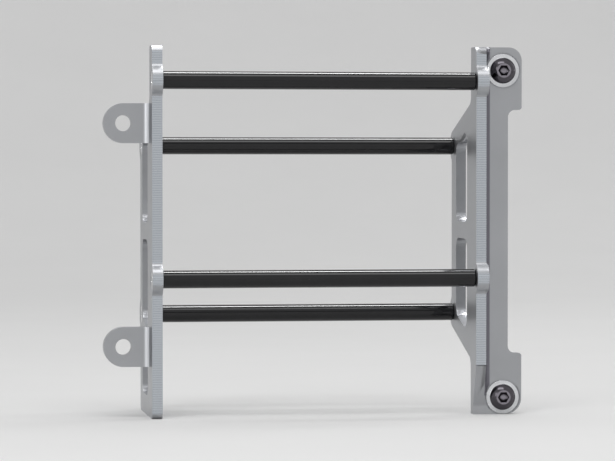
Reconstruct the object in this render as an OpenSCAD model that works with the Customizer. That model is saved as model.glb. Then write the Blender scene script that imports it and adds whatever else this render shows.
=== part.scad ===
// Motorcycle radiator guard for one radiator: a machined outer bracket that is
// screwed to the front of the radiator tabs, an inner bracket with two ears, and
// four cross rods that tie the two brackets into a cage round the radiator.
// X points outwards from the motorcycle, Y rearwards and Z up along the bracket.
// The origin is on the back face of the flange, halfway between the mount screws.

/* [Outer bracket] */
// Distance between the two mount screws
screw_pitch = 133.5; // [120:0.5:160]
// Metal above the upper mount screw
top_margin = 9.5; // [8:0.5:14]
// Metal below the lower mount screw
bottom_margin = 7; // [7:0.5:12]
// Thickness of the flange under the screws
flange_t = 5; // [4:0.5:7]
// Thickness of the web that carries the rods
web_t = 4.2; // [3.5:0.1:6]
// How far the web stands ahead of the flange
web_lead = 6; // [5:0.5:9]
// Distance from the screw line to the web
screw_to_web = 8; // [7.5:0.1:12]
// Width of the mount pads outside the screw line
pad_overhang = 7.9; // [7.5:0.1:12]
// Width of the narrow flange outside the screw line
bar_overhang = 2.2; // [0:0.2:4]
// Height of the upper mount pad
upper_pad_h = 25.5; // [20:0.5:34]
// Height of the lower mount pad
lower_pad_h = 25; // [18:0.5:34]
// Radius of the outer corner of the upper pad
top_corner_r = 5.4; // [3:0.2:6.8]
// Radius of the outer corner of the lower pad
bottom_corner_r = 6.6; // [3:0.2:6.8]
// Radius of the two pad corners at the notch
pad_edge_r = 1.2; // [0.6:0.2:2.5]
// Radius inside the notch between the pads
notch_r = 3; // [1:0.5:3]
// Radius of the fillet between web and flange
fillet_r = 3.5; // [1:0.5:4]
// Radius of the upper front corner of the web
nose_r = 3.2; // [2:0.2:5]
// Radius where the front edge turns into the slope
slope_r = 3; // [1:0.5:5]
// Height above the lower end at which the front edge starts to slope back
slope_top = 20.6; // [16:0.2:26]
// Height above the lower end at which the slope reaches the flange
slope_foot = 3.7; // [2:0.1:6]
// Depth of the round seat milled for each mount screw
seat_depth = 0.8; // [0.4:0.1:1.5]

/* [Side wing] */
// Height left free behind each mount pad for the radiator tab
tab_room = 22.5; // [18:0.5:27]
// Width of the metal left round the windows
band_w = 8; // [6:0.5:10]
// Radius of the hollow between wing and mount pad
wing_fillet_r = 4; // [2:0.5:6]
// Width of the rib between the windows
rib_w = 7; // [5:0.5:12]
// Corner radius of the windows
window_r = 5; // [2:0.5:7]

/* [Cross rods] */
// Diameter of the rods
rod_d = 7.2; // [6.4:0.2:8.4]
// Free length of the rods between the two brackets
rod_len = 128; // [100:1:160]
// Distance from the top of the bracket down to the upper front rod
upper_rod_drop = 14; // [12:0.5:18]
// Distance between the two front rods
front_rod_pitch = 80; // [60:1:84]
// How far the front rod axes lie behind the front edge
rod_inset = 2.7; // [2:0.1:3.2]
// Distance from the flange back to the rear rod axes
rear_rod_depth = 38; // [30:1:50]
// Distance between the two rear rods
rear_rod_pitch = 70; // [56:1:76]
// Wall of the lobes round the rods
lobe_wall = 2.8; // [2.2:0.1:3.6]
// Radius of the hollows beside each lobe
lobe_fillet_r = 3; // [2:0.5:4]
// Thickness of the boss on each front lobe
boss_t = 0.6; // [0.3:0.1:1]
// Diameter of the threaded end that holds a front rod in the web
spigot_d = 5; // [4:0.5:5]

/* [Inner bracket] */
// Thickness of the two ears
ear_t = 5; // [4:0.5:7]
// Distance from the plate to the ear holes
ear_reach = 11; // [9:0.5:16]
// Radius of the ear ends
ear_r = 8; // [6.5:0.5:9]
// Distance between the ear holes
ear_pitch = 90; // [80:1:92]
// Diameter of the ear holes
ear_hole_d = 6.5; // [5.5:0.1:8.5]
// Radius of the plate's two lower corners
foot_r = 3; // [1:0.5:5]
// Radius of the plate's upper rear corner
back_r = 2; // [1:0.5:3]

/* [Screws] */
// Thread diameter of the mount screws
mount_screw_d = 6; // [5:0.5:6]
// Length of the mount screws behind the flange
mount_screw_out = 12; // [8:1:20]
// Diameter of their plain neck inside the flange
neck_d = 5; // [4:0.5:5]
// Diameter of the collar under the mount screw heads
collar_d = 13.6; // [12:0.2:13.8]
// Thickness of that collar
collar_t = 1; // [0.8:0.1:1.4]
// Diameter of the domed mount screw heads
dome_d = 10.8; // [10:0.2:11.4]
// Height of the mount screw heads with the collar
head_h = 3.3; // [2.8:0.1:4]
// Width across flats of the mount screw sockets
mount_socket_w = 4; // [3:0.5:5]
// Thread diameter of the countersunk rod screws
rod_screw_d = 4; // [3.5:0.5:4]
// Diameter of the countersunk heads
rod_head_d = 8; // [7:0.2:8.4]
// Length of a rod screw inside its rod
rod_screw_in = 10; // [7:1:14]
// Width across flats of the rod screw sockets
rod_socket_w = 2.5; // [2:0.5:3]

/* [Hidden] */
$fn = 64;
metal = "silver";
rod_black = [0.09, 0.09, 0.1];
zinc = "gainsboro";

// Clearances of what passes through or sits in something else
mount_hole_play = 0.6;
seat_play = 1.1;
thread_play = 0.1;
rod_hole_play = 0.4;
head_recess = 0.1;
edge_break = 0.5;
cut_over = 1;
lobe_clear = 0.4;
neck_out = 0.5;
socket_rim = 0.9;

// Levels up the bracket
top_z = screw_pitch / 2 + top_margin;
bottom_z = -screw_pitch / 2 - bottom_margin;
wing_top = top_z - tab_room;
wing_bottom = bottom_z + tab_room;
wing_mid = (wing_top + wing_bottom) / 2;
front_rod_z = [top_z - upper_rod_drop, top_z - upper_rod_drop - front_rod_pitch];
rear_rod_z = [wing_mid + rear_rod_pitch / 2, wing_mid - rear_rod_pitch / 2];

// Depths from front to rear
flange_front = -flange_t;
web_front = flange_front - web_lead;
front_rod_y = web_front + rod_inset;
rear_edge = rear_rod_depth + rod_inset;
seat_y = flange_front + seat_depth;

// Places across the guard
web_out = -screw_to_web;
web_in = web_out - web_t;
inner_in = web_in - rod_len;
inner_out = inner_in - web_t;

// Radii that follow from the sizes above
rod_r = rod_d / 2;
lobe_r = rod_r + lobe_wall;
seat_r = (collar_d + seat_play) / 2;
mount_hole_r = (mount_screw_d + mount_hole_play) / 2;
spigot_r = spigot_d / 2;
rod_screw_r = rod_screw_d / 2;
rod_hole_r = (rod_screw_d + rod_hole_play) / 2;
rod_head_r = rod_head_d / 2;
socket_depth = 2;
rod_socket_depth = 1.3;
rod_bore_over = 2;
dome_flat_r = mount_socket_w / 2 + socket_rim;

// The wing edge runs from the back of the flange as a tangent to the rear lobe
wing_run = [rear_rod_depth, rear_rod_z[0] - wing_top];
wing_angle = atan2(wing_run[1], wing_run[0]) + asin(lobe_r / norm(wing_run));
wing_reach = sqrt(norm(wing_run) * norm(wing_run) - lobe_r * lobe_r);
wing_tangent = [wing_reach * cos(wing_angle), wing_top + wing_reach * sin(wing_angle)];

// The windows lie between the front band and the rear lobes
window_front = band_w;
window_rear = rear_rod_depth - lobe_r - lobe_clear;

// Height of the window's sloping edge at the depth y, above the middle of the wing
function window_edge(y) = wing_top - wing_mid + y * tan(wing_angle) - band_w / cos(wing_angle);

// Unit vector from a to b
function toward(a, b) = (b - a) / norm(b - a);

// Positive where the outline turns left at b
function turn(a, b, c) = (b[0] - a[0]) * (c[1] - b[1]) - (b[1] - a[1]) * (c[0] - b[0]);

// Corner of an outline between its edges and a circle of radius r that touches both
module corner_piece(a, b, c, r) {
    u = toward(b, a);
    v = toward(b, c);
    half = acos(u * v) / 2;
    run = r / tan(half);
    centre = b + toward([0, 0], u + v) * r / sin(half);
    difference() {
        polygon([b, b + u * run, centre, b + v * run]);
        translate(centre) circle(r);
    }
}

// Outline through corners of the form [u, v, radius], listed to the left round the shape
module outline(corners) {
    n = len(corners);
    p = [for (c = corners) [c[0], c[1]]];
    difference() {
        union() {
            polygon(p);
            for (i = [0:n - 1])
                if (corners[i][2] > 0 && turn(p[(i + n - 1) % n], p[i], p[(i + 1) % n]) < 0)
                    corner_piece(p[(i + n - 1) % n], p[i], p[(i + 1) % n], corners[i][2]);
        }
        for (i = [0:n - 1])
            if (corners[i][2] > 0 && turn(p[(i + n - 1) % n], p[i], p[(i + 1) % n]) > 0)
                corner_piece(p[(i + n - 1) % n], p[i], p[(i + 1) % n], corners[i][2]);
    }
}

// Lobe round a rod, with hollows that lead into the edge lying rod_inset ahead of the axis
module lobe(side) {
    run = sqrt(pow(lobe_r + lobe_fillet_r, 2) - pow(rod_inset + lobe_fillet_r, 2));
    circle(lobe_r);
    for (s = [-1, 1])
        difference() {
            polygon([[0, 0], [side * rod_inset, s * run],
                     [side * (rod_inset + lobe_fillet_r), s * run]]);
            translate([side * (rod_inset + lobe_fillet_r), s * run]) circle(lobe_fillet_r);
        }
}

// Hollow on the inner side of a rear lobe only, where the wing edge leaves on the other
module rear_lobe(way) {
    run = sqrt(pow(lobe_r + lobe_fillet_r, 2) - pow(rod_inset + lobe_fillet_r, 2));
    circle(lobe_r);
    difference() {
        polygon([[0, 0], [rod_inset, way * run], [rod_inset + lobe_fillet_r, way * run]]);
        translate([rod_inset + lobe_fillet_r, way * run]) circle(lobe_fillet_r);
    }
}

// Extrudes an outline in Y and Z from x0 to x1
module plate(x0, x1) {
    translate([x0, 0, 0]) rotate([90, 0, 90]) linear_extrude(x1 - x0) children();
}

// Cylinder along X
module bar_x(x0, x1, y, z, r) {
    translate([x0, y, z]) rotate([0, 90, 0]) cylinder(r = r, h = x1 - x0);
}

// Cylinder along Y
module bar_y(y0, y1, x, z, r) {
    translate([x, y1, z]) rotate([90, 0, 0]) cylinder(r = r, h = y1 - y0);
}

// One window above the middle of the wing, or its mirror image below
module wing_window(way) {
    lo = rib_w / 2;
    corners = [[window_front, lo], [window_rear, lo],
               [window_rear, window_edge(window_rear)], [window_front, window_edge(window_front)]];
    order = way > 0 ? [0, 1, 2, 3] : [3, 2, 1, 0];
    outline([for (i = order) [corners[i][0], wing_mid + way * corners[i][1], window_r]]);
}

// Third window of the inner bracket, below the pair
module foot_window() {
    lo = bottom_z + band_w;
    gap = band_w / cos(wing_angle);
    outline([[window_front, lo, window_r], [window_rear, lo, window_r],
             [window_rear, wing_mid - window_edge(window_rear) - gap, window_r],
             [window_front, wing_mid - window_edge(window_front) - gap, window_r]]);
}

// Web of the outer bracket seen from the side
module outer_web_outline() {
    difference() {
        union() {
            outline([[flange_front, bottom_z, 0], [0, bottom_z, 0],
                     [0, wing_bottom, wing_fillet_r],
                     [wing_tangent[0], 2 * wing_mid - wing_tangent[1], 0],
                     [rear_rod_depth, rear_rod_z[1], 0], [rear_edge, rear_rod_z[1], 0],
                     [rear_edge, rear_rod_z[0], 0], [rear_rod_depth, rear_rod_z[0], 0],
                     [wing_tangent[0], wing_tangent[1], 0],
                     [0, wing_top, wing_fillet_r],
                     [0, top_z, 0], [web_front, top_z, nose_r],
                     [web_front, bottom_z + slope_top, slope_r],
                     [flange_front, bottom_z + slope_foot, slope_r]]);
            for (z = front_rod_z) translate([front_rod_y, z]) lobe(-1);
            for (i = [0, 1]) translate([rear_rod_depth, rear_rod_z[i]]) rear_lobe(2 * i - 1);
        }
        wing_window(1);
        wing_window(-1);
    }
}

// Inner bracket seen from the side, with the foot that it stands on
module inner_plate_outline() {
    difference() {
        union() {
            outline([[web_front, bottom_z, foot_r], [rear_edge, bottom_z, foot_r],
                     [rear_edge, rear_rod_z[0], 0], [rear_rod_depth, rear_rod_z[0], 0],
                     [wing_tangent[0], wing_tangent[1], 0],
                     [0, wing_top, wing_fillet_r],
                     [0, top_z, back_r], [web_front, top_z, nose_r]]);
            for (z = front_rod_z) translate([front_rod_y, z]) lobe(-1);
            translate([rear_rod_depth, rear_rod_z[0]]) rear_lobe(-1);
            translate([rear_rod_depth, rear_rod_z[1]]) lobe(1);
        }
        wing_window(1);
        wing_window(-1);
        foot_window();
    }
}

// Flange of the outer bracket seen from the front
module flange_outline() {
    outline([[web_in, bottom_z, 0], [pad_overhang, bottom_z, bottom_corner_r],
             [pad_overhang, bottom_z + lower_pad_h, pad_edge_r],
             [bar_overhang, bottom_z + lower_pad_h, notch_r],
             [bar_overhang, top_z - upper_pad_h, notch_r],
             [pad_overhang, top_z - upper_pad_h, pad_edge_r],
             [pad_overhang, top_z, top_corner_r], [web_in, top_z, 0]]);
}

// Fillet in the angle between web and flange, ending where the web slopes back
module web_fillet() {
    intersection() {
        plate(web_out - web_t / 2, web_out + fillet_r) outer_web_outline();
        translate([web_out, flange_front, bottom_z])
            linear_extrude(top_z - bottom_z)
                difference() {
                    translate([-web_t / 2, -fillet_r]) square([fillet_r + web_t / 2, fillet_r + flange_t / 2]);
                    translate([fillet_r, -fillet_r]) circle(fillet_r);
                }
    }
}

// Hole for a countersunk rod screw, from the face at x inwards along way
module countersunk_hole(x, y, z, way) {
    mouth_r = rod_head_r + head_recess;
    depth = mouth_r - rod_hole_r;
    translate([x, y, z]) rotate([0, way * 90, 0]) {
        cylinder(r1 = mouth_r, r2 = rod_hole_r, h = depth);
        translate([0, 0, depth / 2]) cylinder(r = rod_hole_r, h = web_t);
        translate([0, 0, -cut_over]) cylinder(r = mouth_r, h = cut_over);
    }
}

module outer_bracket() {
    color(metal)
    difference() {
        union() {
            plate(web_in, web_out) outer_web_outline();
            rotate([90, 0, 0]) linear_extrude(flange_t) flange_outline();
            web_fillet();
            for (z = front_rod_z) bar_x(web_out - web_t / 2, web_out + boss_t, front_rod_y, z, lobe_r);
        }
        for (s = [-1, 1]) {
            bar_y(flange_front - web_lead, seat_y, 0, s * screw_pitch / 2, seat_r);
            bar_y(flange_front - cut_over, cut_over, 0, s * screw_pitch / 2, mount_hole_r);
        }
        for (z = front_rod_z)
            bar_x(web_in - cut_over, web_out + boss_t + cut_over, front_rod_y, z, spigot_r + thread_play / 2);
        for (z = rear_rod_z) countersunk_hole(web_out, rear_rod_depth, z, -1);
    }
}

// Ear of the inner bracket with its hole, and a fillet on its front side
module ear(z) {
    difference() {
        union() {
            translate([inner_out - ear_reach, 0, z]) rotate([90, 0, 0]) linear_extrude(ear_t) circle(ear_r);
            translate([inner_out - ear_reach, -ear_t, z - ear_r]) cube([ear_reach + web_t / 2, ear_t, 2 * ear_r]);
            translate([inner_out, -ear_t, z - ear_r])
                linear_extrude(2 * ear_r)
                    difference() {
                        translate([-fillet_r, -fillet_r]) square([fillet_r + web_t / 2, fillet_r + ear_t / 2]);
                        translate([-fillet_r, -fillet_r]) circle(fillet_r);
                    }
        }
        bar_y(-ear_t - cut_over, cut_over, inner_out - ear_reach, z, ear_hole_d / 2);
    }
}

module inner_bracket() {
    color(metal)
    difference() {
        union() {
            plate(inner_out, inner_in) inner_plate_outline();
            for (s = [-1, 1]) ear(s * ear_pitch / 2);
        }
        for (z = front_rod_z) countersunk_hole(inner_out, front_rod_y, z, 1);
        for (z = rear_rod_z) countersunk_hole(inner_out, rear_rod_depth, z, 1);
    }
}

// Rod along X with broken edges and a tapped bore in its inner end.
// The outer end has either a threaded spigot or a tapped bore of its own.
module rod(y, z, spigot) {
    bore_r = rod_screw_r + thread_play / 2;
    bore_h = rod_screw_in + rod_bore_over;
    spigot_h = spigot ? web_t + boss_t : 0;
    color(rod_black)
    translate([inner_in, y, z]) rotate([0, 90, 0])
    difference() {
        rotate_extrude()
            polygon(concat([[0, 0], [rod_r - edge_break, 0], [rod_r, edge_break],
                            [rod_r, rod_len - edge_break], [rod_r - edge_break, rod_len]],
                           spigot ? [[spigot_r, rod_len], [spigot_r, rod_len + spigot_h - edge_break],
                                     [spigot_r - edge_break, rod_len + spigot_h]] : [],
                           [[0, rod_len + spigot_h]]));
        translate([0, 0, -cut_over]) cylinder(r = bore_r, h = bore_h + cut_over);
        if (!spigot) translate([0, 0, rod_len - bore_h]) cylinder(r = bore_r, h = bore_h + cut_over);
    }
}

// Domed screw with a collar, whose axis runs along Y at the height z
module mount_screw(z) {
    dome_r = dome_d / 2;
    centre = (dome_r * dome_r + collar_t * collar_t - dome_flat_r * dome_flat_r - head_h * head_h)
             / (2 * (collar_t - head_h));
    ball_r = norm([dome_r, collar_t - centre]);
    shank = mount_screw_out - seat_y;
    neck_h = neck_out - seat_y;
    color(zinc)
    translate([0, seat_y, z]) rotate([90, 0, 0])
    difference() {
        union() {
            rotate_extrude()
                intersection() {
                    translate([0, centre]) circle(ball_r);
                    translate([0, collar_t / 2]) square([dome_r, head_h - collar_t / 2]);
                }
            cylinder(d = collar_d, h = collar_t);
            translate([0, 0, -neck_h]) cylinder(d = neck_d, h = neck_h + collar_t / 2);
            translate([0, 0, -shank + edge_break])
                cylinder(d = mount_screw_d, h = shank - edge_break - neck_h);
            translate([0, 0, -shank])
                cylinder(d1 = mount_screw_d - 2 * edge_break, d2 = mount_screw_d, h = edge_break);
        }
        translate([0, 0, head_h - socket_depth])
            cylinder(r = mount_socket_w / sqrt(3), h = socket_depth + cut_over, $fn = 6);
    }
}

// Countersunk screw in the outer face of a plate at x, pointing along way
module rod_screw(x, y, z, way) {
    length = web_t + rod_screw_in - head_recess;
    cone_h = rod_head_r - rod_screw_r;
    color(zinc)
    translate([x + way * head_recess, y, z]) rotate([0, way * 90, 0])
    difference() {
        rotate_extrude()
            polygon([[0, 0], [rod_head_r, 0], [rod_screw_r, cone_h], [rod_screw_r, length - edge_break],
                     [rod_screw_r - edge_break, length], [0, length]]);
        translate([0, 0, -cut_over])
            cylinder(r = rod_socket_w / sqrt(3), h = rod_socket_depth + cut_over, $fn = 6);
    }
}

outer_bracket();
inner_bracket();
rod(front_rod_y, front_rod_z[0], true);  // upper_front_rod
rod(front_rod_y, front_rod_z[1], true);  // lower_front_rod
rod(rear_rod_depth, rear_rod_z[0], false);  // upper_rear_rod
rod(rear_rod_depth, rear_rod_z[1], false);  // lower_rear_rod
mount_screw(screw_pitch / 2);  // upper_mount_screw
mount_screw(-screw_pitch / 2);  // lower_mount_screw
rod_screw(inner_out, front_rod_y, front_rod_z[0], 1);  // upper_front_rod_screw
rod_screw(inner_out, front_rod_y, front_rod_z[1], 1);  // lower_front_rod_screw
rod_screw(inner_out, rear_rod_depth, rear_rod_z[0], 1);  // upper_rear_inner_screw
rod_screw(inner_out, rear_rod_depth, rear_rod_z[1], 1);  // lower_rear_inner_screw
rod_screw(web_out, rear_rod_depth, rear_rod_z[0], -1);  // upper_rear_outer_screw
rod_screw(web_out, rear_rod_depth, rear_rod_z[1], -1);  // lower_rear_outer_screw
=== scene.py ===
import math

import bmesh
import bpy
from bpy.props import FloatProperty, FloatVectorProperty, PointerProperty
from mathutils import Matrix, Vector


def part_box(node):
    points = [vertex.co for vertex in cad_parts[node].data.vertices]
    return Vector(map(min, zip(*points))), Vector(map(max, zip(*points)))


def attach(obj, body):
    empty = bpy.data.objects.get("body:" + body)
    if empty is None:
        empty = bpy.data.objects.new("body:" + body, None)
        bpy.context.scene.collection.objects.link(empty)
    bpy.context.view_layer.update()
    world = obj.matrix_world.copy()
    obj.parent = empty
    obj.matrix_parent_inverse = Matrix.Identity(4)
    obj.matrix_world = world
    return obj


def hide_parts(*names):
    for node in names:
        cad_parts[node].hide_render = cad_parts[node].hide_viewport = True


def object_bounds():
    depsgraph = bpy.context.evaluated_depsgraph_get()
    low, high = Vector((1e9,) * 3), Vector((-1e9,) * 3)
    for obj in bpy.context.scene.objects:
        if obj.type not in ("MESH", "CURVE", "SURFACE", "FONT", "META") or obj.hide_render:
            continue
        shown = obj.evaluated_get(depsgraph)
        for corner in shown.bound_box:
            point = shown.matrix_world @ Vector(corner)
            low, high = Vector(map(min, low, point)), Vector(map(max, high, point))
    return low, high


bl_info = {
    "name": "Radiator guard",
    "version": (1, 0, 0),
    "blender": (4, 5, 0),
    "location": "3D View > Sidebar > Radiator guard",
    "description": "Finishes a motorcycle radiator guard around its packed frame",
    "category": "Object",
}

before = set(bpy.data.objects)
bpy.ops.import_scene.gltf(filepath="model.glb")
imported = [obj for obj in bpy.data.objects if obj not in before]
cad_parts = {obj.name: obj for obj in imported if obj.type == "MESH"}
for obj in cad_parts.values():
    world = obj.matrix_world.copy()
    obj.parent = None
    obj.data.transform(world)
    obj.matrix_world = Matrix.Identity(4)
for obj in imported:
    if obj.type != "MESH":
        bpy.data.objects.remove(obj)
CAD_LOW, CAD_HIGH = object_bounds()
MM = 0.001

BRACKETS = ("outer_bracket", "inner_bracket")
RODS = ("upper_front_rod", "lower_front_rod", "upper_rear_rod", "lower_rear_rod")
MOUNT_SCREWS = ("upper_mount_screw", "lower_mount_screw")
ROD_SCREWS = (
    "upper_front_rod_screw", "lower_front_rod_screw",
    "upper_rear_inner_screw", "lower_rear_inner_screw",
    "upper_rear_outer_screw", "lower_rear_outer_screw",
)

# Joining and reading the frame's meshes
WELD = 0.002 * MM
FLAT = math.radians(0.6)
SHARP = math.radians(28)
SMOOTH_UNDER = math.radians(42)

# The camera stands where it stood in front of the motorcycle, in metres and degrees
CAMERA_AZIMUTH = -8.4
CAMERA_ELEVATION = 1.2
CAMERA_DISTANCE = 1.24
GUARD_SHARE_OF_HEIGHT = 0.79
PICTURE = (615, 461)
SENSOR = 36.0


class GuardFinish(bpy.types.PropertyGroup):
    """Colours of the guard and of the floor it stands on"""

    metal: FloatVectorProperty(
        name="Bare metal", description="Machined light metal of both brackets",
        subtype="COLOR", size=3, min=0.0, max=1.0, default=(0.40, 0.408, 0.425))
    rod: FloatVectorProperty(
        name="Rod coating", description="Gloss coating of the cross rods",
        subtype="COLOR", size=3, min=0.0, max=1.0, default=(0.006, 0.006, 0.007))
    screw: FloatVectorProperty(
        name="Screw plating", description="Bright plating of the screws",
        subtype="COLOR", size=3, min=0.0, max=1.0, default=(0.70, 0.71, 0.73))
    # The domes' dark colour is a painted reflection: it stands for the dark surroundings that bright domes
    # mirror
    dome_dark_reflection: FloatVectorProperty(
        name="Screw domes", description="Darker polish of the mount screws' domes",
        subtype="COLOR", size=3, min=0.0, max=1.0, default=(0.085, 0.080, 0.090))
    floor: FloatVectorProperty(
        name="Floor", description="Pale floor and backdrop",
        subtype="COLOR", size=3, min=0.0, max=1.0, default=(0.82, 0.82, 0.81))


class GuardSizes(bpy.types.PropertyGroup):
    """Sizes of the details that the frame leaves out"""

    edge: FloatProperty(
        name="Broken edges", description="Width of the chamfer on the brackets' edges",
        unit="LENGTH", min=0.0, default=0.35 * MM, precision=5)
    screw_edge: FloatProperty(
        name="Screw edges", description="Width of the rounding on the screws' edges",
        unit="LENGTH", min=0.0, default=0.12 * MM, precision=5)
    thread_pitch: FloatProperty(
        name="Thread pitch", description="Pitch of the mount screws' threads",
        unit="LENGTH", min=0.5 * MM, default=1.0 * MM, precision=5)
    thread_start: FloatProperty(
        name="Thread start", description="Distance from the flange's back to the first thread",
        unit="LENGTH", min=0.0, default=0.5 * MM, precision=5)
    mill_spacing: FloatProperty(
        name="Milling ridges", description="Spacing of the ridges that the cutter left on edges",
        unit="LENGTH", min=0.05 * MM, default=0.95 * MM, precision=5)


# Shader helpers


def put(tree, kind, **settings):
    """Adds a shader node and sets its properties."""
    node = tree.nodes.new(kind)
    for key, value in settings.items():
        setattr(node, key, value)
    return node


def math_node(tree, operation, a, b=None):
    """Math node on two values, each a number or an output."""
    node = put(tree, "ShaderNodeMath", operation=operation)
    for socket, value in zip(node.inputs, (a, b)):
        if value is None:
            continue
        if isinstance(value, (int, float)):
            socket.default_value = value
        else:
            tree.links.new(value, socket)
    return node.outputs[0]


def shader_group(name, inputs, outputs):
    """An empty node group with its sockets and its two end nodes."""
    group = bpy.data.node_groups.new(name, "ShaderNodeTree")
    for label, kind, value in inputs:
        socket = group.interface.new_socket(label, in_out="INPUT", socket_type=kind)
        if value is not None:
            socket.default_value = value
    for label, kind in outputs:
        group.interface.new_socket(label, in_out="OUTPUT", socket_type=kind)
    return group, put(group, "NodeGroupInput"), put(group, "NodeGroupOutput")


def cutter_lines_group():
    """Fine uneven lines that a cutter leaves, which run where the stretched place changes slowly."""
    group, start, end = shader_group(
        "Cutter lines",
        [("Place", "NodeSocketVector", None), ("Stretch", "NodeSocketVector", (1.0, 1.0, 1.0))],
        [("Lines", "NodeSocketFloat")])
    place = put(group, "ShaderNodeVectorMath", operation="MULTIPLY")
    group.links.new(start.outputs["Place"], place.inputs[0])
    group.links.new(start.outputs["Stretch"], place.inputs[1])
    fine = put(group, "ShaderNodeTexNoise", noise_dimensions="3D")
    fine.inputs["Scale"].default_value = 1.0
    fine.inputs["Detail"].default_value = 2.0
    group.links.new(place.outputs[0], fine.inputs["Vector"])
    group.links.new(fine.outputs[0], end.inputs["Lines"])
    return group


def cutter_ridges_group():
    """Even ridges along the height, in bands of changing depth, as a side cutter leaves them."""
    group, start, end = shader_group(
        "Cutter ridges",
        [("Place", "NodeSocketVector", None), ("Spacing", "NodeSocketFloat", 0.001)],
        [("Ridges", "NodeSocketFloat")])
    wave = put(group, "ShaderNodeTexWave", wave_type="BANDS", bands_direction="Z")
    wave.inputs["Distortion"].default_value = 0.8
    wave.inputs["Detail"].default_value = 1.0
    group.links.new(start.outputs["Place"], wave.inputs["Vector"])
    group.links.new(math_node(group, "DIVIDE", math.pi / 10, start.outputs["Spacing"]),
                    wave.inputs["Scale"])
    depth = put(group, "ShaderNodeTexNoise", noise_dimensions="3D")
    depth.inputs["Scale"].default_value = 60.0
    group.links.new(start.outputs["Place"], depth.inputs["Vector"])
    centred = math_node(group, "SUBTRACT", wave.outputs["Fac"], 0.5)
    scaled = math_node(group, "MULTIPLY", centred, depth.outputs[0])
    group.links.new(math_node(group, "ADD", scaled, 0.5), end.inputs["Ridges"])
    return group


def facing_group():
    """How far a surface faces along each axis of the object, from 0 to 1."""
    group, start, end = shader_group(
        "Facing", [("Normal", "NodeSocketVector", None)],
        [("Across", "NodeSocketFloat"), ("Front", "NodeSocketFloat"), ("Up", "NodeSocketFloat")])
    split = put(group, "ShaderNodeSeparateXYZ")
    group.links.new(start.outputs["Normal"], split.inputs[0])
    for axis, label in zip(split.outputs, ("Across", "Front", "Up")):
        sharp = put(group, "ShaderNodeMapRange", interpolation_type="SMOOTHSTEP")
        sharp.inputs["From Min"].default_value = 0.90
        sharp.inputs["From Max"].default_value = 0.985
        group.links.new(math_node(group, "ABSOLUTE", axis), sharp.inputs["Value"])
        group.links.new(sharp.outputs[0], end.inputs[label])
    return group


def between_group():
    """A mask that is 1 where a value lies between two limits, with soft ends."""
    group, start, end = shader_group(
        "Between",
        [("Value", "NodeSocketFloat", 0.0), ("Low", "NodeSocketFloat", 0.0),
         ("High", "NodeSocketFloat", 1.0), ("Soft", "NodeSocketFloat", 0.0005)],
        [("Mask", "NodeSocketFloat")])
    value, soft = start.outputs["Value"], start.outputs["Soft"]
    rise = math_node(group, "DIVIDE", math_node(group, "SUBTRACT", value, start.outputs["Low"]), soft)
    fall = math_node(group, "DIVIDE", math_node(group, "SUBTRACT", start.outputs["High"], value), soft)
    lower = math_node(group, "MINIMUM", rise, fall)
    clamp = put(group, "ShaderNodeClamp")
    group.links.new(lower, clamp.inputs["Value"])
    group.links.new(clamp.outputs[0], end.inputs["Mask"])
    return group


def handling_group():
    """Broad, faint unevenness that handling and wiping leave on a smooth surface."""
    group, start, end = shader_group(
        "Handling", [("Place", "NodeSocketVector", None), ("Scale", "NodeSocketFloat", 60.0)],
        [("Smudge", "NodeSocketFloat")])
    noise = put(group, "ShaderNodeTexNoise", noise_dimensions="3D")
    noise.inputs["Detail"].default_value = 4.0
    noise.inputs["Roughness"].default_value = 0.6
    group.links.new(start.outputs["Place"], noise.inputs["Vector"])
    group.links.new(start.outputs["Scale"], noise.inputs["Scale"])
    group.links.new(noise.outputs[0], end.inputs["Smudge"])
    return group


GROUPS = {}


def shared_group(name):
    """The node group of that name, built on its first use."""
    makers = {"Cutter lines": cutter_lines_group, "Cutter ridges": cutter_ridges_group,
              "Facing": facing_group, "Handling": handling_group, "Between": between_group}
    if name not in GROUPS:
        GROUPS[name] = makers[name]()
    return GROUPS[name]


def place_group(tree, name):
    """Places a shared group in a material."""
    return put(tree, "ShaderNodeGroup", node_tree=shared_group(name))


def new_material(name):
    """A material with a place, and its shader wired to the output."""
    material = bpy.data.materials.new(name)
    material.use_nodes = True
    tree = material.node_tree
    tree.nodes.clear()
    shader = put(tree, "ShaderNodeBsdfPrincipled")
    output = put(tree, "ShaderNodeOutputMaterial")
    tree.links.new(shader.outputs[0], output.inputs["Surface"])
    place = put(tree, "ShaderNodeTexCoord")
    return material, tree, shader, place


def spread(tree, value, low, high):
    """Maps a noise value from its usual range to the range from low to high."""
    node = put(tree, "ShaderNodeMapRange")
    node.inputs["From Min"].default_value = 0.3
    node.inputs["From Max"].default_value = 0.7
    node.inputs["To Min"].default_value = low
    node.inputs["To Max"].default_value = high
    tree.links.new(value, node.inputs["Value"])
    return node.outputs[0]


def shade_colour(tree, colour, value, low, high):
    """The colour made lighter and darker by a noise value, between the factors low and high."""
    factor = spread(tree, value, low, high)
    scaled = put(tree, "ShaderNodeVectorMath", operation="SCALE")
    scaled.inputs[0].default_value = colour
    tree.links.new(factor, scaled.inputs["Scale"])
    return scaled.outputs[0]


def bump(tree, shader, height, distance, strength):
    """Feeds a height to the shader's normal."""
    node = put(tree, "ShaderNodeBump")
    node.inputs["Strength"].default_value = strength
    node.inputs["Distance"].default_value = distance
    tree.links.new(height, node.inputs["Height"])
    tree.links.new(node.outputs[0], shader.inputs["Normal"])


def between(tree, value, low, high, soft):
    """Places the mask that is 1 where the value lies between low and high."""
    mask = place_group(tree, "Between")
    tree.links.new(value, mask.inputs["Value"])
    for label, number in (("Low", low), ("High", high), ("Soft", soft)):
        mask.inputs[label].default_value = number
    return mask.outputs["Mask"]


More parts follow.
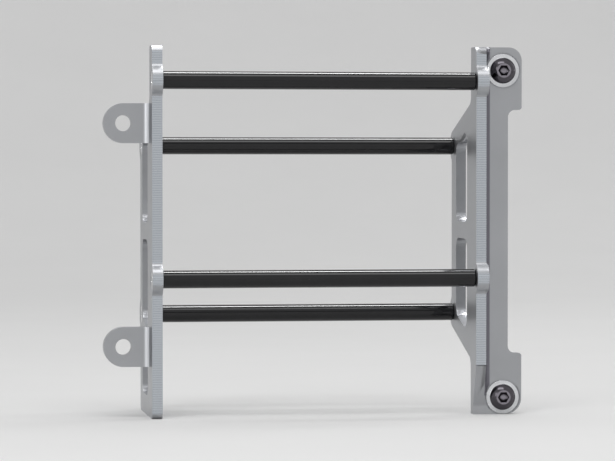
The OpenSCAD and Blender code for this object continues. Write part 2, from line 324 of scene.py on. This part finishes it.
def mix_values(tree, factor, a, b):
    """Mixes two values, each a number or an output."""
    node = put(tree, "ShaderNodeMix", data_type="FLOAT")
    tree.links.new(factor, node.inputs[0])
    for socket, value in ((node.inputs[2], a), (node.inputs[3], b)):
        if isinstance(value, (int, float)):
            socket.default_value = value
        else:
            tree.links.new(value, socket)
    return node.outputs[0]


def mix_colours(tree, factor, a, b):
    """Mixes two colours, each three numbers or an output."""
    node = put(tree, "ShaderNodeMix", data_type="RGBA")
    tree.links.new(factor, node.inputs[0])
    for socket, value in ((node.inputs[6], a), (node.inputs[7], b)):
        if isinstance(value, bpy.types.NodeSocket):
            tree.links.new(value, socket)
        else:
            socket.default_value = (*value, 1.0)
    return node.outputs[2]


def machined_metal(colour, spacing):
    """Bare milled light metal: ridges across the narrow front edges, long faint strokes elsewhere."""
    material, tree, shader, place = new_material("Machined metal")
    shader.inputs["Metallic"].default_value = 1.0
    facing = place_group(tree, "Facing")
    tree.links.new(place.outputs["Normal"], facing.inputs["Normal"])
    split = put(tree, "ShaderNodeSeparateXYZ")
    tree.links.new(place.outputs["Object"], split.inputs[0])
    across, depth = split.outputs["X"], split.outputs["Y"]

    # The web's front edge stands ahead of the flange, and the root of their angle lies between
    ahead = math_node(tree, "LESS_THAN", depth, -10.8 * MM)
    edge = math_node(tree, "MULTIPLY", ahead, facing.outputs["Front"])
    tilt = put(tree, "ShaderNodeSeparateXYZ")
    tree.links.new(place.outputs["Normal"], tilt.inputs[0])
    # Mask of the root of the angle, where the colour gets painted shade
    root = math_node(tree, "MULTIPLY", between(tree, across, -8.05 * MM, -5.2 * MM, 0.35 * MM),
                     between(tree, depth, -9.0 * MM, -4.98 * MM, 0.01 * MM))
    root = math_node(tree, "MULTIPLY", root, between(tree, tilt.outputs["X"], 0.10, 0.95, 0.05))

    # Faces slanted between front and side, on the flange and on the ears, are painted lighter: partly freshly
    # cut metal, partly a painted edge highlight
    slanted = between(tree, math_node(tree, "ABSOLUTE", tilt.outputs["Y"]), 0.25, 0.97, 0.06)
    flat_part = math_node(tree, "ADD", between(tree, across, -4.6 * MM, 20.0 * MM, 0.1 * MM),
                          between(tree, across, -200.0 * MM, -145.2 * MM, 0.1 * MM))
    broken = math_node(tree, "MULTIPLY", slanted, flat_part)

    strokes = place_group(tree, "Cutter lines")
    tree.links.new(place.outputs["Object"], strokes.inputs["Place"])
    strokes.inputs["Stretch"].default_value = (2200.0, 2200.0, 40.0)
    ridges = place_group(tree, "Cutter ridges")
    tree.links.new(place.outputs["Object"], ridges.inputs["Place"])
    ridges.inputs["Spacing"].default_value = spacing
    smudge = place_group(tree, "Handling")
    tree.links.new(place.outputs["Object"], smudge.inputs["Place"])
    smudge.inputs["Scale"].default_value = 45.0

    plain = shade_colour(tree, colour, smudge.outputs["Smudge"], 0.96, 1.03)
    # The web's front edge is painted lighter and cooler than the flange: a painted sheen where it faces the
    # front. The ridges on it are the cutter's own marks
    edge_sheen_and_ridges = [1.24 * colour[0], 1.29 * colour[1], 1.33 * colour[2]]
    edge_sheen_and_ridges = shade_colour(tree, edge_sheen_and_ridges, ridges.outputs["Ridges"], 0.91, 1.06)
    # Painted shade for the crease at the root of the angle between web and flange
    painted_root_shade = [0.44 * colour[0], 0.42 * colour[1], 0.46 * colour[2]]
    # Painted edge highlight colour, which also stands for freshly cut metal
    bright = [min(1.0, 1.75 * part) for part in colour]
    shades = mix_colours(tree, root, mix_colours(tree, edge, plain, edge_sheen_and_ridges), painted_root_shade)
    tree.links.new(mix_colours(tree, broken, shades, bright), shader.inputs["Base Color"])

    satin = spread(tree, smudge.outputs["Smudge"], 0.33, 0.41)
    tree.links.new(mix_values(tree, edge, satin, 0.24), shader.inputs["Roughness"])
    height = mix_values(tree, edge, strokes.outputs["Lines"], ridges.outputs["Ridges"])
    bump(tree, shader, height, 0.006 * MM, 0.5)
    return material


def coated_rod(colour):
    """Gloss black coating with a faint orange peel."""
    material, tree, shader, place = new_material("Black gloss coating")
    shader.inputs["Specular IOR Level"].default_value = 0.4
    smudge = place_group(tree, "Handling")
    tree.links.new(place.outputs["Object"], smudge.inputs["Place"])
    smudge.inputs["Scale"].default_value = 90.0
    tree.links.new(shade_colour(tree, colour, smudge.outputs["Smudge"], 0.8, 1.3), shader.inputs["Base Color"])
    tree.links.new(spread(tree, smudge.outputs["Smudge"], 0.05, 0.085), shader.inputs["Roughness"])
    peel = place_group(tree, "Handling")
    tree.links.new(place.outputs["Object"], peel.inputs["Place"])
    peel.inputs["Scale"].default_value = 700.0
    bump(tree, shader, peel.outputs["Smudge"], 0.0006 * MM, 0.3)
    return material


def plated_screw(colour, dome_dark_reflection):
    """Bright plated steel with a faintly uneven gloss; the mount screws' domes carry a painted dark reflection,
    with a painted lighter rim where they face the front.
    """
    material, tree, shader, place = new_material("Bright plating")
    shader.inputs["Metallic"].default_value = 1.0
    split = put(tree, "ShaderNodeSeparateXYZ")
    tree.links.new(place.outputs["Object"], split.inputs[0])
    # Where the mount screws' domes are, the colour is a painted reflection
    domed = math_node(tree, "MULTIPLY",
                      between(tree, split.outputs["Y"], -20.0 * MM, -5.3 * MM, 0.15 * MM),
                      between(tree, split.outputs["X"], -7.0 * MM, 7.0 * MM, 0.2 * MM))
    smudge = place_group(tree, "Handling")
    tree.links.new(place.outputs["Object"], smudge.inputs["Place"])
    smudge.inputs["Scale"].default_value = 260.0
    bright = shade_colour(tree, colour, smudge.outputs["Smudge"], 0.9, 1.06)
    facing = place_group(tree, "Facing")
    tree.links.new(place.outputs["Normal"], facing.inputs["Normal"])
    # The dome's flat front rim is painted lighter, a painted highlight
    rim = [3.2 * part for part in dome_dark_reflection]
    dome_painted_reflection = mix_colours(tree, facing.outputs["Front"], dome_dark_reflection, rim)
    tree.links.new(mix_colours(tree, domed, bright, dome_painted_reflection), shader.inputs["Base Color"])
    tree.links.new(mix_values(tree, domed, spread(tree, smudge.outputs["Smudge"], 0.20, 0.30), 0.12),
                   shader.inputs["Roughness"])
    grain = place_group(tree, "Handling")
    tree.links.new(place.outputs["Object"], grain.inputs["Place"])
    grain.inputs["Scale"].default_value = 1800.0
    bump(tree, shader, grain.outputs["Smudge"], 0.004 * MM, 0.35)
    return material


def studio_floor(colour):
    """Plain matt floor and backdrop."""
    material, tree, shader, place = new_material("Studio floor")
    shader.inputs["Roughness"].default_value = 0.75
    noise = place_group(tree, "Handling")
    tree.links.new(place.outputs["Object"], noise.inputs["Place"])
    noise.inputs["Scale"].default_value = 9.0
    tree.links.new(shade_colour(tree, colour, noise.outputs["Smudge"], 0.99, 1.01), shader.inputs["Base Color"])
    return material


# Mesh helpers


def merged_copy(node):
    """The node's mesh as one closed skin, with its flat faces whole again."""
    bm = bmesh.new()
    bm.from_mesh(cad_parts[node].data)
    bmesh.ops.remove_doubles(bm, verts=bm.verts, dist=WELD)
    bmesh.ops.dissolve_limit(bm, angle_limit=FLAT, verts=bm.verts, edges=bm.edges)
    return bm


def break_edges(bm, width, segments):
    """Bevels the outside edges that are sharp."""
    edges = [e for e in bm.edges if e.is_manifold and e.calc_face_angle_signed() > SHARP]
    bmesh.ops.bevel(bm, geom=edges, offset=width, offset_type="OFFSET", segments=segments,
                    profile=0.5, affect="EDGES", clamp_overlap=False, material=-1)
    bmesh.ops.remove_doubles(bm, verts=bm.verts, dist=WELD / 4)
    bmesh.ops.triangulate(bm, faces=[f for f in bm.faces if len(f.verts) > 4],
                          quad_method="BEAUTY", ngon_method="BEAUTY")


def add_piece(bm, name, material, node):
    """Turns a bmesh into a piece that stands for a node of the frame."""
    mesh = bpy.data.meshes.new(name)
    bm.to_mesh(mesh)
    bm.free()
    mesh.materials.append(material)
    for face in mesh.polygons:
        face.use_smooth = True
    mesh.set_sharp_from_angle(angle=SMOOTH_UNDER)
    piece = bpy.data.objects.new(name, mesh)
    bpy.context.scene.collection.objects.link(piece)
    even = piece.modifiers.new("Even shading", "WEIGHTED_NORMAL")
    even.keep_sharp = True
    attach(piece, "root")
    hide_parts(node)
    return piece


def cap_open_ends(bm):
    """Closes every open loop of a mesh."""
    bmesh.ops.holes_fill(bm, edges=[e for e in bm.edges if e.is_boundary], sides=0)


def cut_away(bm, y, side):
    """Removes what lies beyond the plane at the depth y, on the side given by 1 or -1."""
    geometry = bm.verts[:] + bm.edges[:] + bm.faces[:]
    bmesh.ops.bisect_plane(bm, geom=geometry, plane_co=(0, y, 0), plane_no=(0, side, 0),
                           clear_outer=True)
    cap_open_ends(bm)


def threaded_shank(radius, pitch, low, high, height):
    """A closed screw thread along Y, with a chamfered end, whose axis is at x = 0 and the given height."""
    steps, core, chamfer = 32, radius - 0.61 * pitch, 0.7 * pitch
    crest, flank, root = pitch / 8, pitch * 5 / 16, pitch / 4
    bm = bmesh.new()
    profile = [(radius, 0.0), (radius, crest), (core, crest + flank), (core, crest + flank + root),
               (radius, pitch)]
    verts = [bm.verts.new((r, low - pitch + run, height)) for r, run in profile]
    edges = [bm.edges.new(pair) for pair in zip(verts, verts[1:])]
    turns = math.ceil((high - low) / pitch) + 2
    bmesh.ops.spin(bm, geom=verts + edges, cent=(0, 0, height), axis=(0, 1, 0),
                   dvec=(0, pitch / steps, 0), angle=2 * math.pi * turns, steps=steps * turns)
    bmesh.ops.remove_doubles(bm, verts=bm.verts, dist=WELD)
    cut_away(bm, high, 1)
    cut_away(bm, low, -1)
    for v in bm.verts:
        across = Vector((v.co.x, 0, v.co.z - height))
        limit = core - 0.1 * pitch + max(0.0, high - v.co.y)
        if high - v.co.y < chamfer and across.length > limit:
            across *= limit / across.length
            v.co.x, v.co.z = across.x, height + across.z
    bmesh.ops.recalc_face_normals(bm, faces=bm.faces)
    return bm


def join(bm, other):
    """Adds the other bmesh to the first and frees it."""
    mesh = bpy.data.meshes.new("joined")
    other.to_mesh(mesh)
    other.free()
    bm.from_mesh(mesh)
    bpy.data.meshes.remove(mesh)


# Pieces


def make_brackets(scene):
    """Both machined brackets."""
    finish, sizes = scene.guard_finish, scene.guard_sizes
    metal = machined_metal(finish.metal, sizes.mill_spacing)
    for node in BRACKETS:
        bm = merged_copy(node)
        add_piece(bm, node + "_finished", metal, node)


def make_rods(scene):
    """The four coated rods."""
    coating = coated_rod(scene.guard_finish.rod)
    for node in RODS:
        bm = merged_copy(node)
        add_piece(bm, node + "_finished", coating, node)


def make_mount_screws(scene):
    """The two domed screws, with softened edges and true threads behind the flange."""
    sizes = scene.guard_sizes
    plating = plated_screw(scene.guard_finish.screw, scene.guard_finish.dome_dark_reflection)
    for node in MOUNT_SCREWS:
        low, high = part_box(node)
        bm = merged_copy(node)
        cut_away(bm, sizes.thread_start, 1)
        break_edges(bm, sizes.screw_edge, 2)
        shank = 6.0 * MM / 2
        join(bm, threaded_shank(shank, sizes.thread_pitch, sizes.thread_start - 0.02 * MM, high.y,
                                (low.z + high.z) / 2))
        add_piece(bm, node + "_finished", plating, node)


def make_rod_screws(scene):
    """The countersunk screws in the plates."""
    plating = bpy.data.materials["Bright plating"]
    for node in ROD_SCREWS:
        bm = merged_copy(node)
        break_edges(bm, scene.guard_sizes.screw_edge, 2)
        add_piece(bm, node + "_finished", plating, node)


# Stage


def area_light(name, place, aim, size, energy, colour=(1.0, 1.0, 1.0)):
    """A rectangular lamp at a place, turned to a point."""
    data = bpy.data.lights.new(name, "AREA")
    data.shape = "RECTANGLE"
    data.size, data.size_y = size
    data.energy = energy
    data.color = colour
    lamp = bpy.data.objects.new(name, data)
    bpy.context.scene.collection.objects.link(lamp)
    lamp.location = place
    lamp.rotation_euler = (Vector(aim) - Vector(place)).to_track_quat("-Z", "Y").to_euler()
    return lamp


def make_floor(scene, centre):
    """A floor that turns up into a backdrop in one soft bend."""
    reach, back, rise, bend = 4.0, 2.6, 3.4, 1.6
    bm = bmesh.new()
    bmesh.ops.create_grid(bm, x_segments=1, y_segments=1, size=reach)
    bmesh.ops.translate(bm, verts=bm.verts, vec=(centre.x, back - reach, CAD_LOW.z))
    rear = [e for e in bm.edges if all(v.co.y > back - 0.01 for v in e.verts)]
    wall = bmesh.ops.extrude_edge_only(bm, edges=rear)["geom"]
    bmesh.ops.translate(bm, verts=[v for v in wall if isinstance(v, bmesh.types.BMVert)], vec=(0, 0, rise))
    bmesh.ops.bevel(bm, geom=rear, offset=bend, segments=24, profile=0.5, affect="EDGES", material=-1)
    bmesh.ops.recalc_face_normals(bm, faces=bm.faces)
    if sum((f.normal.z for f in bm.faces)) < 0:
        bmesh.ops.reverse_faces(bm, faces=bm.faces)
    mesh = bpy.data.meshes.new("floor")
    bm.to_mesh(mesh)
    bm.free()
    mesh.materials.append(studio_floor(scene.guard_finish.floor))
    for face in mesh.polygons:
        face.use_smooth = True
    floor = bpy.data.objects.new("floor", mesh)
    scene.collection.objects.link(floor)


def make_world(scene):
    """Soft light from all sides, and a pale background for the camera and for mirrors."""
    world = bpy.data.worlds.new("Studio")
    scene.world = world
    world.use_nodes = True
    tree = world.node_tree
    tree.nodes.clear()
    soft = put(tree, "ShaderNodeBackground")
    soft.inputs["Color"].default_value = (0.62, 0.62, 0.63, 1.0)
    pale = put(tree, "ShaderNodeBackground")
    pale.inputs["Color"].default_value = (0.80, 0.80, 0.80, 1.0)
    path = put(tree, "ShaderNodeLightPath")
    mix = put(tree, "ShaderNodeMixShader")
    output = put(tree, "ShaderNodeOutputWorld")
    seen = math_node(tree, "MAXIMUM", path.outputs["Is Camera Ray"], path.outputs["Is Glossy Ray"])
    tree.links.new(seen, mix.inputs[0])
    tree.links.new(soft.outputs[0], mix.inputs[1])
    tree.links.new(pale.outputs[0], mix.inputs[2])
    tree.links.new(mix.outputs[0], output.inputs["Surface"])


def make_camera(scene, centre):
    """The camera at the photograph's viewing angle, aimed at the middle of the guard."""
    turn, tilt = math.radians(CAMERA_AZIMUTH), math.radians(CAMERA_ELEVATION)
    away = Vector((math.sin(turn) * math.cos(tilt), -math.cos(turn) * math.cos(tilt), math.sin(tilt)))
    data = bpy.data.cameras.new("Camera")
    camera = bpy.data.objects.new("Camera", data)
    scene.collection.objects.link(camera)
    camera.location = centre + CAMERA_DISTANCE * away
    camera.rotation_mode = "QUATERNION"
    camera.rotation_quaternion = (-away).to_track_quat("-Z", "Y")
    seen_height = (CAD_HIGH.z - CAD_LOW.z) / GUARD_SHARE_OF_HEIGHT
    seen_width = seen_height * PICTURE[0] / PICTURE[1]
    data.sensor_width = SENSOR
    data.lens = SENSOR * CAMERA_DISTANCE / seen_width
    data.clip_start, data.clip_end = 0.05, 20.0
    scene.camera = camera


def make_stage(scene):
    """Floor, light and camera."""
    centre = (CAD_LOW + CAD_HIGH) / 2
    make_floor(scene, centre)
    make_world(scene)
    strip = area_light("strip above", centre + Vector((0.0, 0.26, 0.9)), centre, (1.1, 0.12), 15.0)
    strip.visible_diffuse = False
    area_light("ceiling", centre + Vector((-0.1, -0.65, 1.4)), centre, (1.1, 0.45), 5.2)
    area_light("front left", centre + Vector((-1.3, -1.5, 0.55)), centre, (0.9, 0.9), 4.0)
    area_light("rim right", centre + Vector((1.35, 0.62, 0.55)), centre, (0.6, 1.2), 5.0)
    make_camera(scene, centre)
    scene.view_settings.view_transform = "Standard"


class GUARD_OT_brackets(bpy.types.Operator):
    """Make both machined brackets"""

    bl_idname = "radiator_guard.brackets"
    bl_label = "Brackets"

    def execute(self, context):
        make_brackets(context.scene)
        return {"FINISHED"}


class GUARD_OT_rods(bpy.types.Operator):
    """Make the four cross rods"""

    bl_idname = "radiator_guard.rods"
    bl_label = "Cross rods"

    def execute(self, context):
        make_rods(context.scene)
        return {"FINISHED"}


class GUARD_OT_mount_screws(bpy.types.Operator):
    """Make the two mount screws with their threads"""

    bl_idname = "radiator_guard.mount_screws"
    bl_label = "Mount screws"

    def execute(self, context):
        make_mount_screws(context.scene)
        return {"FINISHED"}


class GUARD_OT_rod_screws(bpy.types.Operator):
    """Make the countersunk screws that hold the rods"""

    bl_idname = "radiator_guard.rod_screws"
    bl_label = "Rod screws"

    def execute(self, context):
        make_rod_screws(context.scene)
        return {"FINISHED"}


class GUARD_OT_stage(bpy.types.Operator):
    """Set up the floor, the light and the camera"""

    bl_idname = "radiator_guard.stage"
    bl_label = "Floor, light and camera"

    def execute(self, context):
        make_stage(context.scene)
        return {"FINISHED"}


class GUARD_PT_panel(bpy.types.Panel):
    """Everything that makes the guard, in the order in which it is made"""

    bl_idname = "GUARD_PT_panel"
    bl_label = "Radiator guard"
    bl_space_type = "VIEW_3D"
    bl_region_type = "UI"
    bl_category = "Radiator guard"

    def draw(self, context):
        layout = self.layout
        for group in (context.scene.guard_finish, context.scene.guard_sizes):
            column = layout.column(align=True)
            for name in group.__annotations__:
                column.prop(group, name)
        for step in STEPS:
            layout.operator(step.bl_idname)


STEPS = (GUARD_OT_brackets, GUARD_OT_rods, GUARD_OT_mount_screws, GUARD_OT_rod_screws, GUARD_OT_stage)
CLASSES = (GuardFinish, GuardSizes, *STEPS, GUARD_PT_panel)


def register():
    for cls in CLASSES:
        bpy.utils.register_class(cls)
    bpy.types.Scene.guard_finish = PointerProperty(type=GuardFinish)
    bpy.types.Scene.guard_sizes = PointerProperty(type=GuardSizes)


def unregister():
    del bpy.types.Scene.guard_sizes
    del bpy.types.Scene.guard_finish
    for cls in reversed(CLASSES):
        bpy.utils.unregister_class(cls)


def main():
    register()
    bpy.ops.radiator_guard.brackets()
    bpy.ops.radiator_guard.rods()
    bpy.ops.radiator_guard.mount_screws()
    bpy.ops.radiator_guard.rod_screws()
    bpy.ops.radiator_guard.stage()


if __name__ == "__main__":
    main()
